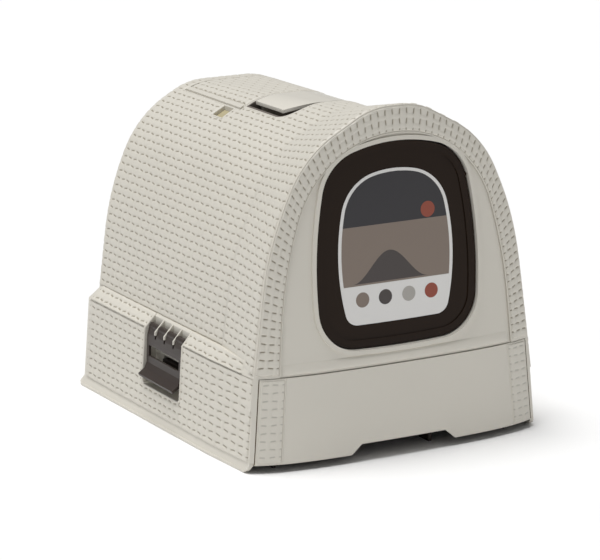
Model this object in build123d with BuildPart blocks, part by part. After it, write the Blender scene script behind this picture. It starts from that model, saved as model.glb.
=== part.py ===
"""Hooded cat litter box: drawer, hood, swing door, side clips and filter hatch.

Millimetres. Front of the box faces -Y, width runs along X, Z is up from the floor.
"""
import os
from math import cos, pi, radians, sin

from build123d import *

# Body of the hood
WALL = 3.0
BACK_Y = 219.0
FRONT_Y = -225.4        # centre of the front at floor level
LEAN = 0.06             # the front leans back by this much per unit of height
BOW = ((1808.7, 2.82), (454.2, 6.4), (158.3, 28))   # plan of the front: radius, turn
COLLAR_Y = -110.0       # step between the flared collar and the long vault
FLARE = 1.28            # collar section carried on past the leaning front
FRONT_END_Y = -206.0    # where the side walls stop
FLANGE_BACK_Y = 224.8
SKIRT_TOP = 11.0
SEAM_Z = 106.0          # joint between the drawer front and the hood
SHOULDER_Z = 121.0
FOOT_ROUND = 12.0

# Half widths of the lower box at the front, at the collar and at the back
FLANGE_HALF = (186.5, 192.4, 201)
SKIRT_HALF = (186, 191.4, 200)
FOOT_HALF = (184.5, 189.5, 196)
SEAM_HALF = (176.5, 182.9, 188)
SHOULDER_HALF = (173, 171.4, 170)

# Arches as crown height and a path of tangent bends down to a straight, drafted foot.
# The arches of the vault share their bends (radius, turn) and differ in the straight runs
# before each bend, so the skin between them never twists.
BENDS = ((82.3, 28.6), (127.9, 37.1), (340, 16.6))
FRONT_ARCH = (393.9, 8.9, 31.6, 14.5)
COLLAR_ARCH = (373.8, 2.0, 29.4, 26.2)
BACK_ARCH = (358.2, 28.1, 12.3, 2.0)
PANEL_ARCH = (363.2, ((137.1, 13.3), (125.5, 59.1), (522, 13.4)))
PANEL_DEPTH = 1.6

# Door
DOOR_OUTLINE = (353.1, ((185.6, 16.9), (55, 61.5), (483.9, 15.7), (47.7, 83.1)))
LABEL_OUTLINE = (323.0, ((122, 12.85), (53.1, 64.9), (254.2, 26.15), (15.7, 75)))
DOOR_GAP = 1.5
DOOR_SET_BACK = 9.0     # door plane behind the front surface
DOOR_THICK = 2.2
DOOR_RIM = 9.0
DOOR_RIM_THICK = 5.0
HINGE_Z = 306.0
PIN_R = 2.5
RUN_FIT = 0.06
SLEEVE_DEPTH = 15.0

# Drawer
DRAWER_TOP_HALF = 171.0
DRAWER_FOOT_HALF = 179.0
DRAWER_FOOT_Z = 9.0
DRAWER_GAP = 0.8
TRAY_HALF = 160.0
TRAY_TOP = 97.0
TRAY_BACK_Y = 198.0
CUTOUT_HALF = 54.0
CUTOUT_FOOT_HALF = 68.0
CUTOUT_TOP = 20.0

# Side clips
CLIP_Y = 6.0
POCKET_HALF = 46.0
POCKET_FOOT = 41.0
POCKET_X = 173.0
PIVOT_X = 178.0
PIVOT_Z = 108.0
ROD_R = 2.5
KNUCKLE_R = 4.2
RIB_PITCH = 23.0
RIB_WIDTH = 2.4
RIB_FOOT = 102.0
SLOT_FOOT = 97.0

# Top of the vault
CUP_HALF = 56.0
CUP_BACK_Y = 44.0
CUP_FRONT_Y = -53.5
CUP_CORNER = 24.0
CUP_FLOOR = 334.0
GRIP_HALF = 44.5
LID_HALF = 62.0
LID_FRONT_Y = 47.0
LID_BACK_Y = 190.0
LID_GAP = 0.7
FILTER_FLOOR = 318.0


def front_depth(z, back=0.0):
    """Depth of the middle of the leaning front at a height, moved back by a distance."""
    return FRONT_Y + back + LEAN * z


def tangent_path(crown, bends, grow=0.0):
    """Path from a level crown down the right side, and its last heading.

    A bend is a radius and a turn, or a length and no turn for a straight run. Each piece of the
    path is a list of two points for a straight run or three for an arc.
    """
    x, z, heading, path = 0.0, crown + grow, 0.0, []
    for size, turn in bends:
        if turn:
            radius, turn = size + grow, radians(turn)
            middle_x, middle_z = x - radius * sin(heading), z - radius * cos(heading)
            piece = [(middle_x + radius * sin(heading + turn * share),
                      middle_z + radius * cos(heading + turn * share)) for share in (0, 0.5, 1)]
            heading += turn
        else:
            piece = [(x, z), (x + size * cos(heading), z - size * sin(heading))]
        path.append(piece)
        x, z = piece[-1]
    return path, heading


def flipped(points):
    """Points on the other side of the centre line."""
    return [(-x, z) for x, z in points]


def draw_piece(points):
    """Straight line or arc through the points."""
    if len(points) == 2:
        Line(*points)
    else:
        ThreePointArc(*points)


def draw_path(path):
    """Draw a path on both sides of the crown, with the crown in one piece."""
    crown = path[0]
    draw_piece(flipped(crown[-1:]) + crown[:-2] + crown[-1:])
    for piece in path[1:]:
        draw_piece(piece)
        draw_piece(flipped(piece))


def arch_sketch(y, crown, bends, grow, foot):
    """Closed arch section on the upright plane at depth y."""
    path, heading = tangent_path(crown, bends, grow)
    x, z = path[-1][-1]
    foot_x = x + (z - foot) * cos(heading) / sin(heading)
    with BuildSketch(Plane.XZ.offset(-y)) as arch:
        with BuildLine():
            draw_path(path)
            Polyline((x, z), (foot_x, foot), (-foot_x, foot), (-x, z))
        make_face()
    return arch.sketch


def vault_section(y, arch, inset):
    """Section of the vault at depth y, inset from the outer skin."""
    bends = [step for run, bend in zip(arch[1:], BENDS) for step in ((run, 0), bend)]
    return arch_sketch(y, arch[0], bends, -inset, 70)


def vault(inset):
    """Long vault with its flared collar and its eased back edge, inset from the outer skin."""
    ease = 8.0
    mouth = [a + (b - a) * FLARE for a, b in zip(COLLAR_ARCH, FRONT_ARCH)]
    with BuildPart() as arch:
        loft([vault_section(FRONT_Y - 6, mouth, inset),
              vault_section(COLLAR_Y, COLLAR_ARCH, inset),
              vault_section(BACK_Y - inset - ease, BACK_ARCH, inset),
              vault_section(BACK_Y - inset, BACK_ARCH, inset + ease)], ruled=True)
    return arch.part


def vault_skin(plan, outer, inner):
    """Piece of the vault between two insets, inside a plan outline."""
    over, under = vault(outer), vault(inner)
    with BuildPart() as piece:
        extrude(plan, amount=420)
        add(over, mode=Mode.INTERSECT)
        add(under, mode=Mode.SUBTRACT)
    return piece.part


def plate_plan(x_range, y_range, radius=0.0):
    """Rectangle on the floor plane, with round corners where a radius is given."""
    with BuildSketch(Plane(origin=(sum(x_range) / 2, sum(y_range) / 2, 0))) as plan:
        Rectangle(x_range[1] - x_range[0], y_range[1] - y_range[0])
        if radius:
            fillet(plan.vertices(), radius)
    return plan.sketch


def plan_sketch(z, front_half, back_half, start, end, radius):
    """Tapered plan with round back corners."""
    with BuildSketch(Plane.XY.offset(z)) as plan:
        with BuildLine():
            Polyline((-front_half, start), (front_half, start), (back_half, end),
                     (-back_half, end), close=True)
        make_face()
        fillet(plan.vertices().group_by(Axis.Y)[-1], radius)
    return plan.sketch


def box_sketch(z, halves, end, radius, inset=0.0, start=-235.0):
    """Plan of the lower box: a taper from the back to the collar and a stronger one to the front."""
    front, collar, back = [half - inset for half in halves]
    tip = front + (front - collar) * (start - FRONT_END_Y) / (FRONT_END_Y - COLLAR_Y)
    right = [(tip, start), (collar, COLLAR_Y), (back, end - inset)]
    with BuildSketch(Plane.XY.offset(z)) as plan:
        with BuildLine():
            Polyline(*right, *flipped(reversed(right)), close=True)
        make_face()
        fillet(plan.vertices().group_by(Axis.Y)[-1], radius - inset)
    return plan.sketch


def front_slab(near, far, mode):
    """Leaning slab that follows the bowed front between two depths behind it."""
    below = 30
    plane = Plane(origin=(0, front_depth(-below), -below), x_dir=(1, 0, 0), z_dir=(0, LEAN, 1))
    with BuildSketch(plane) as plan:
        with BuildLine():
            for back in (near, far):
                path, _ = tangent_path(0, BOW)
                draw_path([[(x, back - depth) for x, depth in piece] for piece in path])
            x, depth = path[-1][-1]
            for side in (-x, x):
                Line((side, near - depth), (side, far - depth))
        make_face()
    extrude(plan.sketch, amount=470, mode=mode)


def closed_sketch(plane, outline, grow=0.0, hole=None):
    """Face inside a closed outline of tangent arcs, less a smaller one where it is given."""
    with BuildSketch(plane) as shape:
        for size, mode in ((grow, Mode.ADD), (hole, Mode.SUBTRACT)):
            if size is not None:
                path, heading = tangent_path(*outline, size)
                x, z = path[-1][-1]
                radius = x / sin(pi - heading)
                with BuildLine():
                    draw_path(path)
                    ThreePointArc((x, z), (0, z - radius * (1 + cos(heading))), (-x, z))
                make_face(mode=mode)
    return shape.sketch


def front_plug(outline, grow, near, far):
    """Plug through the front inside a grown outline, between two depths behind the skin."""
    with BuildPart() as plug:
        extrude(closed_sketch(Plane.XZ.offset(250), outline, grow), amount=-80)
        front_slab(near, far, Mode.INTERSECT)
    return plug.part


def trapezoid(low_half, low_z, high_half, high_z, near, far):
    """Upright prism along the depth with a foot and a head of different widths."""
    with BuildSketch(Plane.XZ.offset(-near)) as shape:
        with BuildLine():
            Polyline((-low_half, low_z), (low_half, low_z), (high_half, high_z),
                     (-high_half, high_z), close=True)
        make_face()
    return extrude(shape.sketch, amount=near - far, mode=Mode.PRIVATE)


def block(x_range, y_range, z_range, mode=Mode.ADD):
    """Plain box between two corners."""
    plane = Plane(origin=(sum(x_range) / 2, sum(y_range) / 2, z_range[0]))
    with BuildSketch(plane) as foot:
        Rectangle(x_range[1] - x_range[0], y_range[1] - y_range[0])
    extrude(foot.sketch, amount=z_range[1] - z_range[0], mode=mode)


def bar(start, direction, radius, length, mode=Mode.ADD):
    """Round bar from a point along a direction."""
    with BuildSketch(Plane(origin=start, z_dir=direction)) as end:
        Circle(radius)
    extrude(end.sketch, amount=length, mode=mode)


def cup_plan(grow=0.0):
    """Plan of the cup: square at the back, round corners at the front."""
    half, depth = CUP_HALF + grow, CUP_BACK_Y - CUP_FRONT_Y + 2 * grow
    with BuildSketch(Plane(origin=(0, (CUP_BACK_Y + CUP_FRONT_Y) / 2, 0))) as plan:
        Rectangle(2 * half, depth)
        fillet(plan.vertices().group_by(Axis.Y)[0], CUP_CORNER + grow)
    return plan.sketch


def tongue_plan(half, back, shoulder, nose):
    """Plan with straight sides, a square back and a round nose."""
    with BuildSketch(Plane.XY) as plan:
        with BuildLine():
            ThreePointArc((half, shoulder), (0, nose), (-half, shoulder))
            Polyline((-half, shoulder), (-half, back), (half, back), (half, shoulder))
        make_face()
    return plan.sketch


OUTER = vault(0.0)
INNER = vault(WALL)

# Solid body of the hood, before it is hollowed
with BuildPart() as body:
    loft([box_sketch(0, FLANGE_HALF, FLANGE_BACK_Y, 22),
          box_sketch(3, FLANGE_HALF, FLANGE_BACK_Y, 22)])
    loft([box_sketch(3, SKIRT_HALF, BACK_Y + 4.5, 17), box_sketch(SKIRT_TOP, FOOT_HALF, BACK_Y, 17)])
    loft([box_sketch(SKIRT_TOP, FOOT_HALF, BACK_Y, 17), box_sketch(SEAM_Z, SEAM_HALF, BACK_Y, 17)])
    loft([box_sketch(SEAM_Z, SEAM_HALF, BACK_Y, 17),
          box_sketch(SHOULDER_Z, SHOULDER_HALF, BACK_Y - 3, 17)])
    add(OUTER)
    front_slab(-40, 0, Mode.SUBTRACT)

# Hollow inside the hood
with BuildPart() as cavity:
    loft([box_sketch(-2, FOOT_HALF, BACK_Y, 17, WALL),
          box_sketch(SEAM_Z - 1, SEAM_HALF, BACK_Y, 17, WALL)])
    loft([box_sketch(SEAM_Z - 1, SEAM_HALF, BACK_Y, 17, WALL),
          box_sketch(SHOULDER_Z - WALL, SHOULDER_HALF, BACK_Y - 3, 17, WALL)])
    add(INNER)
    front_slab(-40, WALL, Mode.SUBTRACT)

# What the round lower front corners of the side walls leave out
with BuildPart() as foot_corners:
    block((-215, 215), (-240, FRONT_END_Y + FOOT_ROUND + 3), (-1, FOOT_ROUND))
    bar((-220, FRONT_END_Y + FOOT_ROUND + 3, FOOT_ROUND), (1, 0, 0), FOOT_ROUND, 440, Mode.SUBTRACT)

DOOR_PLANE = Plane(origin=(0, front_depth(0, DOOR_SET_BACK), 0), x_dir=(1, 0, 0),
                   z_dir=(0, -1, LEAN))
HINGE_Y = front_depth(HINGE_Z, DOOR_SET_BACK)

# Recess of the smooth front panel inside the woven band
with BuildPart() as panel_recess:
    extrude(arch_sketch(-250, *PANEL_ARCH, 0, 80), amount=-70)
    front_slab(-5, PANEL_DEPTH, Mode.INTERSECT)

# Inner walls of the clip pockets, cut to the skin of the body
with BuildPart() as pocket_walls:
    for side in (-1, 1):
        edges = sorted((side * (POCKET_X - WALL), side * 205))
        block(edges, (CLIP_Y - POCKET_HALF - WALL, CLIP_Y + POCKET_HALF + WALL),
              (POCKET_FOOT - WALL, 124))
    add(body.part, mode=Mode.INTERSECT)

# Ribs that stand between the clip knuckles
with BuildPart() as ribs:
    for side in (-1, 1):
        for step in (-1, 0, 1):
            middle = CLIP_Y + step * RIB_PITCH
            block(sorted((side * (POCKET_X - 1), side * 205)),
                  (middle - RIB_WIDTH / 2, middle + RIB_WIDTH / 2), (RIB_FOOT, 124))
    add(body.part, mode=Mode.INTERSECT)

# Thicker skin under the finger notch, and the notch itself
notch_pad = vault_skin(plate_plan((-84, -60), (53, 85)), 0.5, 6.5)
notch = vault_skin(plate_plan((-80, -65), (57, 81)), -2.5, 4.0)

# Hood: one hollow moulding
with BuildPart() as hood_shell:
    add(body.part)
    add(cavity.part, mode=Mode.SUBTRACT)
    add(trapezoid(DRAWER_FOOT_HALF + 1.5, -5, DRAWER_TOP_HALF + DRAWER_GAP, SEAM_Z, -260, -196),
        mode=Mode.SUBTRACT)
    add(foot_corners.part, mode=Mode.SUBTRACT)
    add(panel_recess.part, mode=Mode.SUBTRACT)
    add(front_plug(DOOR_OUTLINE, DOOR_GAP + 5, -0.5, PANEL_DEPTH + 1))
    add(front_plug(DOOR_OUTLINE, DOOR_GAP + 3, PANEL_DEPTH, SLEEVE_DEPTH))
    extrude(closed_sketch(Plane.XZ.offset(250), DOOR_OUTLINE, DOOR_GAP), amount=-85,
            mode=Mode.SUBTRACT)
    for side in (-1, 1):
        bar((side * 88, HINGE_Y, HINGE_Z), (side, 0, 0), PIN_R + RUN_FIT, 12, Mode.SUBTRACT)
    add(pocket_walls.part)
    for side in (-1, 1):
        block(sorted((side * POCKET_X, side * 215)), (CLIP_Y - POCKET_HALF, CLIP_Y + POCKET_HALF),
              (POCKET_FOOT, 130), Mode.SUBTRACT)
        block(sorted((side * 165, side * 180)), (CLIP_Y - 24, CLIP_Y + 24), (60, 77),
              Mode.SUBTRACT)
    add(ribs.part)
    for side in (-1, 1):
        bar((side * PIVOT_X, CLIP_Y - POCKET_HALF - 2.2, PIVOT_Z), (0, 1, 0), ROD_R + 0.04,
            2 * POCKET_HALF + 4.4, Mode.SUBTRACT)
    add(notch_pad)
    add(notch, mode=Mode.SUBTRACT)
    extrude(cup_plan(), amount=420, mode=Mode.SUBTRACT)
    block((-LID_HALF, LID_HALF), (LID_FRONT_Y, LID_BACK_Y), (300, 420), Mode.SUBTRACT)

# Dark base pan on runners, with the two posts that the clips hook on to
with BuildPart() as base_pan:
    loft([plan_sketch(15.5, 176, 184, -190, 210, 10), plan_sketch(32, 175, 183, -190, 209.5, 10)])
    loft([plan_sketch(18.5, 173.4, 181.4, -195, 207.4, 8),
          plan_sketch(33, 172.4, 180.4, -195, 206.9, 8)], mode=Mode.SUBTRACT)
    block((-140, 140), (-212, -186), (15.5, 18.5))
    for x in (-150, -50, 50, 150):
        block((x - 2, x + 2), (-196, 200), (0, 16))
    for side in (-1, 1):
        block(sorted((side * 165.6, side * 169.2)), (CLIP_Y - 20, CLIP_Y + 20), (17, 74))
        block(sorted((side * 168, side * 177)), (CLIP_Y - 20, CLIP_Y + 20), (68.5, 74))

# Bowed plate of the drawer front
with BuildPart() as drawer_front:
    add(trapezoid(DRAWER_FOOT_HALF, DRAWER_FOOT_Z, DRAWER_TOP_HALF, SEAM_Z - DRAWER_GAP,
                  -260, -180))
    front_slab(0, WALL, Mode.INTERSECT)

# Litter drawer: bowed front with a finger cut-out, and a drafted open tray
with BuildPart() as litter_drawer:
    loft([plan_sketch(20.5, 151, 151, -240, 190, 26),
          plan_sketch(TRAY_TOP, TRAY_HALF, TRAY_HALF, -240, TRAY_BACK_Y, 26)])
    loft([plan_sketch(TRAY_TOP - 3, TRAY_HALF + 3, TRAY_HALF + 3, -240, TRAY_BACK_Y + 3, 30),
          plan_sketch(TRAY_TOP, TRAY_HALF + 3, TRAY_HALF + 3, -240, TRAY_BACK_Y + 3, 30)])
    front_slab(-40, 1.0, Mode.SUBTRACT)
    with BuildSketch(Plane.XY.offset(23)) as floor_in:
        with Locations((0, -13)):
            RectangleRounded(297, 398, 24)
    with BuildSketch(Plane.XY.offset(TRAY_TOP + 1)) as rim_in:
        with Locations((0, -6)):
            RectangleRounded(315, 402, 24)
    loft([floor_in.sketch, rim_in.sketch], mode=Mode.SUBTRACT)
    add(drawer_front.part)
    add(trapezoid(CUTOUT_FOOT_HALF, DRAWER_FOOT_Z - 1, CUTOUT_HALF, CUTOUT_TOP, -260, -196),
        mode=Mode.SUBTRACT)

# Swing door: clear plate with a thick rim and two stub pins
with BuildPart() as door_flap:
    extrude(closed_sketch(DOOR_PLANE, DOOR_OUTLINE, 0, -DOOR_RIM), amount=DOOR_RIM_THICK / 2,
            both=True)
    extrude(closed_sketch(DOOR_PLANE, DOOR_OUTLINE, -2), amount=DOOR_THICK / 2, both=True)
    for side in (-1, 1):
        bar((side * 86, HINGE_Y, HINGE_Z), (side, 0, 0), PIN_R, 8.2)

# Label on the face of the door
with BuildPart() as door_label:
    extrude(closed_sketch(DOOR_PLANE.offset(DOOR_THICK / 2), LABEL_OUTLINE), amount=0.4)


def side_clip(side):
    """Side clip: knuckles, plate with a window, catch and flared pull lip."""
    profile = [(174.8, 107), (181.4, 109.6), (184.4, 100), (185.2, 92), (186.2, 66), (189.5, 59),
               (197.5, 53.5), (196.5, 50.8), (187, 56), (183.2, 63), (182.4, 92), (180.4, 100)]
    with BuildPart() as clip:
        with BuildSketch(Plane.XZ.offset(-CLIP_Y + 44)) as section:
            with BuildLine():
                Polyline(*[(side * x, z) for x, z in profile], close=True)
            make_face()
        extrude(section.sketch, amount=-88)
        bar((side * PIVOT_X, CLIP_Y - 44, PIVOT_Z), (0, 1, 0), KNUCKLE_R, 88)
        block(sorted((side * 176, side * 190)), (CLIP_Y - 39, CLIP_Y + 39), (74, 87), Mode.SUBTRACT)
        block(sorted((side * 177.8, side * 184)), (CLIP_Y - 18, CLIP_Y + 18), (64, 67))
        for step in (-1, 0, 1):
            middle = CLIP_Y + step * RIB_PITCH
            block(sorted((side * 170, side * 200)), (middle - RIB_WIDTH / 2 - 0.5,
                  middle + RIB_WIDTH / 2 + 0.5), (SLOT_FOOT, 130), Mode.SUBTRACT)
        bar((side * PIVOT_X, CLIP_Y - 50, PIVOT_Z), (0, 1, 0), ROD_R + RUN_FIT, 100, Mode.SUBTRACT)
    return clip


def clip_rod(side):
    """Rod that a side clip turns on."""
    with BuildPart() as rod:
        bar((side * PIVOT_X, CLIP_Y - POCKET_HALF - 2, PIVOT_Z), (0, 1, 0), ROD_R,
            2 * POCKET_HALF + 4)
    return rod


left_clip = side_clip(-1)
right_clip = side_clip(1)
left_rod = clip_rod(-1)
right_rod = clip_rod(1)

# Dark cup under the grip, flush with the vault
with BuildPart() as cup_hollow:
    extrude(cup_plan(-2.6), amount=420)
    block((-100, 100), (-120, 80), (-1, CUP_FLOOR + 2.4), Mode.SUBTRACT)
with BuildPart() as handle_cup:
    extrude(cup_plan(-0.3), amount=420)
    block((-100, 100), (-120, 80), (-1, CUP_FLOOR), Mode.SUBTRACT)
    add(OUTER, mode=Mode.INTERSECT)
    add(cup_hollow.part, mode=Mode.SUBTRACT)

# Root that carries the grip from the floor of the cup
with BuildPart() as grip_root:
    block((-38, 38), (33, 40.5), (CUP_FLOOR + 2.4, 400))
    add(vault(1.0), mode=Mode.INTERSECT)

# Smooth grip that reaches over the cup from a root at its back
with BuildPart() as carry_grip:
    add(vault_skin(tongue_plan(GRIP_HALF, 41, -26, -48), -0.6, 3.0))
    add(grip_root.part)

# Filter hatch: lid with two ridges, slotted tray and pad
LID_SPAN = (LID_FRONT_Y + LID_GAP, LID_BACK_Y - LID_GAP)
with BuildPart() as filter_lid:
    add(vault_skin(plate_plan((LID_GAP - LID_HALF, LID_HALF - LID_GAP), LID_SPAN), 0.0, WALL - 0.2))
    for side in (-1, 1):
        edges = sorted((side * (LID_HALF - 0.8), side * (LID_HALF - 5.8)))
        add(vault_skin(plate_plan(edges, LID_SPAN), -1.6, 1.0))

with BuildPart() as filter_tray:
    block((-LID_HALF - 4, LID_HALF + 4), (LID_FRONT_Y - 3, LID_BACK_Y + 3), (FILTER_FLOOR, 400))
    add(vault(WALL + 0.2), mode=Mode.INTERSECT)
    add(vault_skin(plate_plan((-85, -59), (52, 86)), 0, 6.8), mode=Mode.SUBTRACT)
    block((2.5 - LID_HALF, LID_HALF - 2.5), (LID_FRONT_Y + 3, LID_BACK_Y - 3),
          (FILTER_FLOOR + 2.4, 420), Mode.SUBTRACT)
    for step in range(-5, 6):
        block((step * 10 - 2.5, step * 10 + 2.5), (LID_FRONT_Y + 14, LID_BACK_Y - 14),
              (FILTER_FLOOR - 2, FILTER_FLOOR + 4), Mode.SUBTRACT)

with BuildPart() as filter_pad:
    block((3 - LID_HALF, LID_HALF - 3), (LID_FRONT_Y + 4, LID_BACK_Y - 4),
          (FILTER_FLOOR + 2.4, FILTER_FLOOR + 12.4))
    fillet(filter_pad.edges().filter_by(Axis.Z), 5)

PIECES = {
    "hood_shell": hood_shell, "base_pan": base_pan, "litter_drawer": litter_drawer,
    "door_flap": door_flap, "door_label": door_label, "left_clip": left_clip,
    "right_clip": right_clip, "left_clip_rod": left_rod, "right_clip_rod": right_rod,
    "handle_cup": handle_cup, "carry_grip": carry_grip, "filter_lid": filter_lid,
    "filter_tray": filter_tray, "filter_pad": filter_pad,
}
os.makedirs("parts", exist_ok=True)
for label, piece in PIECES.items():
    piece.part.label = label
    export_step(piece.part, f"parts/{label}.step")
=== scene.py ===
"""Looks of the hooded litter box: woven skins, beads, print, finishes and stage."""
from math import cos, pi, radians, sin

import bmesh
import bpy
import numpy as np
from mathutils import Matrix, Vector


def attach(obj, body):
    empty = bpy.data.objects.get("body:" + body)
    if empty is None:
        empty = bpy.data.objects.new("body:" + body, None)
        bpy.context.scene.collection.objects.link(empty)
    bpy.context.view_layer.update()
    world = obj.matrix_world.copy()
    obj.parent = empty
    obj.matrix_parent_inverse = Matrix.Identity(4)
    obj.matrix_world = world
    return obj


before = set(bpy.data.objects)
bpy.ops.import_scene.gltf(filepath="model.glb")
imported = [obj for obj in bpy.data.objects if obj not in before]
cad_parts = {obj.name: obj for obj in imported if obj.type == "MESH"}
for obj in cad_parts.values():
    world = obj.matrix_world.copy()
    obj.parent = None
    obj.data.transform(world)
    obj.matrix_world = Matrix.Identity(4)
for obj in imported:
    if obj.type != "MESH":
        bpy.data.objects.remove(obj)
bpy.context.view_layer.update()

bl_info = {
    "name": "Hooded Litter Box",
    "version": (1, 0, 0),
    "blender": (4, 5, 0),
    "location": "View3D > Sidebar > Litter Box",
    "description": "Dresses the litter box with its basket weave, finishes and stage",
    "category": "Object",
}

# Sizes are in millimetres, turns in degrees. A bend is a radius and a turn.
MM = 0.001
SIDES = ((-1, "left"), (1, "right"))
ARC_POINTS = 60

# Front face: its depth at the floor, how far it leans back, and the bends of its bow in plan.
FRONT_Y = -225.4
LEAN = 0.06
BOW = ((1808.7, 2.82), (454.2, 6.4), (158.3, 28))

# Vault: an arch is its crown height and the straight run before each bend.
COLLAR_Y = -110.0
BACK_Y = 219.0
BACK_EASE = 8.0
MOUTH_Y = FRONT_Y - 6
FLARE = 1.28
BENDS = ((82.3, 28.6), (127.9, 37.1), (340, 16.6))
FRONT_ARCH = (393.9, 8.9, 31.6, 14.5)
COLLAR_ARCH = (373.8, 2.0, 29.4, 26.2)
BACK_ARCH = (358.2, 28.1, 12.3, 2.0)
ARCH_FOOT = 70.0
PANEL_ARCH = (363.2, ((137.1, 13.3), (125.5, 59.1), (522, 13.4)))
PANEL_FOOT = 80.0
HALVINGS = 24

# Lower box: half widths at the front, at the collar and at the back.
FRONT_END_Y = -206.0
WALL_FOOT_Z = 11.0
SEAM_Z = 106.0
SHOULDER_Z = 121.0
FOOT_HALF = (184.5, 189.5, 196)
SEAM_HALF = (176.5, 182.9, 188)
SHOULDER_HALF = (173, 171.4, 170)

# Cup, filter lid, and finger notch as its limits in x and in y.
CUP_HALF = 56.0
CUP_FRONT_Y = -53.5
CUP_CORNER = 24.0
LID_HALF = 62.0
LID_FRONT_Y = 47.0
LID_BACK_Y = 190.0
NOTCH = (-80.0, -65.0, 57.0, 81.0)
NOTCH_DEPTH = 3.8
NOTCH_FLOOR_INSET = 0.3
NOTCH_FLOOR_GRID = (8, 12)

# Clip pockets.
CLIP_Y = 6.0
POCKET_HALF = 46.0
POCKET_FOOT = 41.0
POCKET_MARGIN = 2.2
POCKET = (CLIP_Y - POCKET_HALF - POCKET_MARGIN, CLIP_Y + POCKET_HALF + POCKET_MARGIN)

# Drawer front, woven strips at its ends and woven band round the panel.
DRAWER_FOOT_Z = 9.0
DRAWER_FOOT_HALF = 179.0
DRAWER_TOP_HALF = 171.0
STRIP_WIDTH = 26.0
STRIP_INSET = 27.8
STRIP_Z = (12.0, 103.4)
BAND_FOOT = 109.0
BAND_WIDTH = 26.0
BAND_LENGTH = 711.0
BAND_SHARES = (0.05, 0.95)
FRONT_COLUMNS = 2.5

# Weave: shares of a relief, and mesh cells to a pitch.
COLLAR_RELIEF = 1.1
BAND_RELIEF = 1.3
STRIP_RELIEF = 0.75
WALL_SLANT = 0.16
WEAVE_LIFT = 0.25
BORDER_SINK = 0.9
WALL_PARTS = 9
FRONT_PARTS = 12
LEAST_CELL = 0.3
WEFT_LOW = 0.42
WEFT_FULLNESS = 0.7
WEFT_ROUND = 0.34
WARP_TOP = 0.95
WARP_HALF = 0.2
WARP_FULLNESS = 0.5
WARP_SIDE_ROUND = 0.5
WARP_END_ROUND = 0.36
HOLE_HALF_LENGTH = 0.30
HOLE_HALF_HEIGHT = 0.11
HOLE_DEPTH = 0.95

# Limits of the woven fields: along y, up z, or as a length round the arch from its crown.
COLLAR_LINE = 0.4
ROOF_WEAVE_Y = (COLLAR_Y + COLLAR_LINE, 210.0)
TOP_REACH = 72.0
FOOT_REACH = 331.0
LOWER_WEAVE_Y = (-200.0, 201.0)
LOWER_WEAVE_Z = (12.5, SEAM_Z - 0.6)
SLOPE_WEAVE_Y = (-176.0, 201.0)
SLOPE_Z = (SEAM_Z + 0.3, SHOULDER_Z - 0.2)
SLOPE_LENGTH = 19.0
SLOPE_START = 0.13
LID_WEAVE_Y = (LID_FRONT_Y + 1.6, LID_BACK_Y - 1.6)
LID_WEAVE_REACH = 55.5
HATCH_MARGIN = 1.2
LID_FRONT_MARGIN = 1.6
BACK_MARGIN = 13.0
BACK_CUT = 0.1
BACK_UPPER_HALF = 160.0
BACK_UPPER_Z = (SHOULDER_Z + 2, 340.0)
BACK_LOWER_HALF = 168.0
BACK_LOWER_Z = (13.0, SEAM_Z - 1)
COLLAR_FOOT = 38.5
COLLAR_SHARE = 0.975
COLLAR_WIDER = 1.35
COLLAR_LEVEL = 190.0

# Beads and rims: a radius, and how far the middle lies in or over the wall.
BEAD_SIDES = 8
BEAD_RADIUS = 0.9
BEAD_UP = (0.1, 1, 0.05)
BAND_BEAD_FOOT = 107.5
BAND_BEAD_SKIP = 3
BAND_BEAD_SINK = 0.1
DRAWER_BEAD_INSET = 28.6
DRAWER_BEAD_SINK = 0.2
DRAWER_BEAD_Z = (10.0, 104.6)
DRAWER_BEAD_POINTS = 40
# Dark tube laid in the seam round the drawer: a painted shadow line
GAP_RADIUS = 0.62
GAP_OFFSET = 0.45
GAP_SINK = 0.55
GAP_STEP = 6.0
RIM_LIFT = 0.2
RIM_STEP = 4.0
CUP_RIM_RADIUS = 1.5
CUP_RIM_OFFSET = 1.3
CUP_RIM_POINTS = 14
LID_RIM_RADIUS = 1.3
LID_RIM_OFFSET = 1.4
LID_RIM_FRONT = LID_FRONT_Y - 1
NOTCH_RIM_RADIUS = 1.5
NOTCH_RIM_OFFSET = 1.2
NOTCH_RIM_STEP = 2.0
POCKET_RIM_RADIUS = 1.7
POCKET_RIM_INSET = 0.6
POCKET_RIM_DROP = 1.6
POCKET_RIM_CORNER = 3.0
POCKET_RIM_STEP = 3.0

# Soft ledge over the seam.
LEDGE_HALF = 146.0
LEDGE_Z = (107.4, 120.0)
LEDGE_GRID = (90, 13)
LEDGE_SWELL = 2.4
LEDGE_SINK = 1.75
LEDGE_FADE = 12.0
LEDGE_SKEW = 0.75
LEDGE_ROUND = 0.8
LEDGE_END_ROUND = 0.5

# Door and label, with the print in heights and places on the door.
DOOR_SET_BACK = 9.0
DOOR_THICK = 2.2
LABEL_THICK = 0.4
LABEL_OUTLINE = (323.0, ((122, 12.85), (53.1, 64.9), (254.2, 26.15), (15.7, 75)))
LABEL_BORDER = 4.0
LABEL_STEPS = 60
PRINT_LIFT = 0.06
OVERPRINT_LIFT = 0.10
SKY_TOP = 318.9
HORIZON_Z = 262.0
FIELD_FOOT = 196.0
HILL_X = -8.0
HILL_HALF = 48.0
HILL_FOOT = 198.0
HILL_RISE = 34.0
HILL_POINTS = 40
DISC = (42.0, 272.0, 9.0)
DISC_POINTS = 35
TOKENS = ((-44.0, "print_sand"), (-15.0, "print_dusk"), (15.0, "print_stone"), (44.0, "print_clay"))
TOKEN_Z = 180.0
TOKEN_RADIUS = 8.5
TOKEN_POINTS = 31

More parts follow.
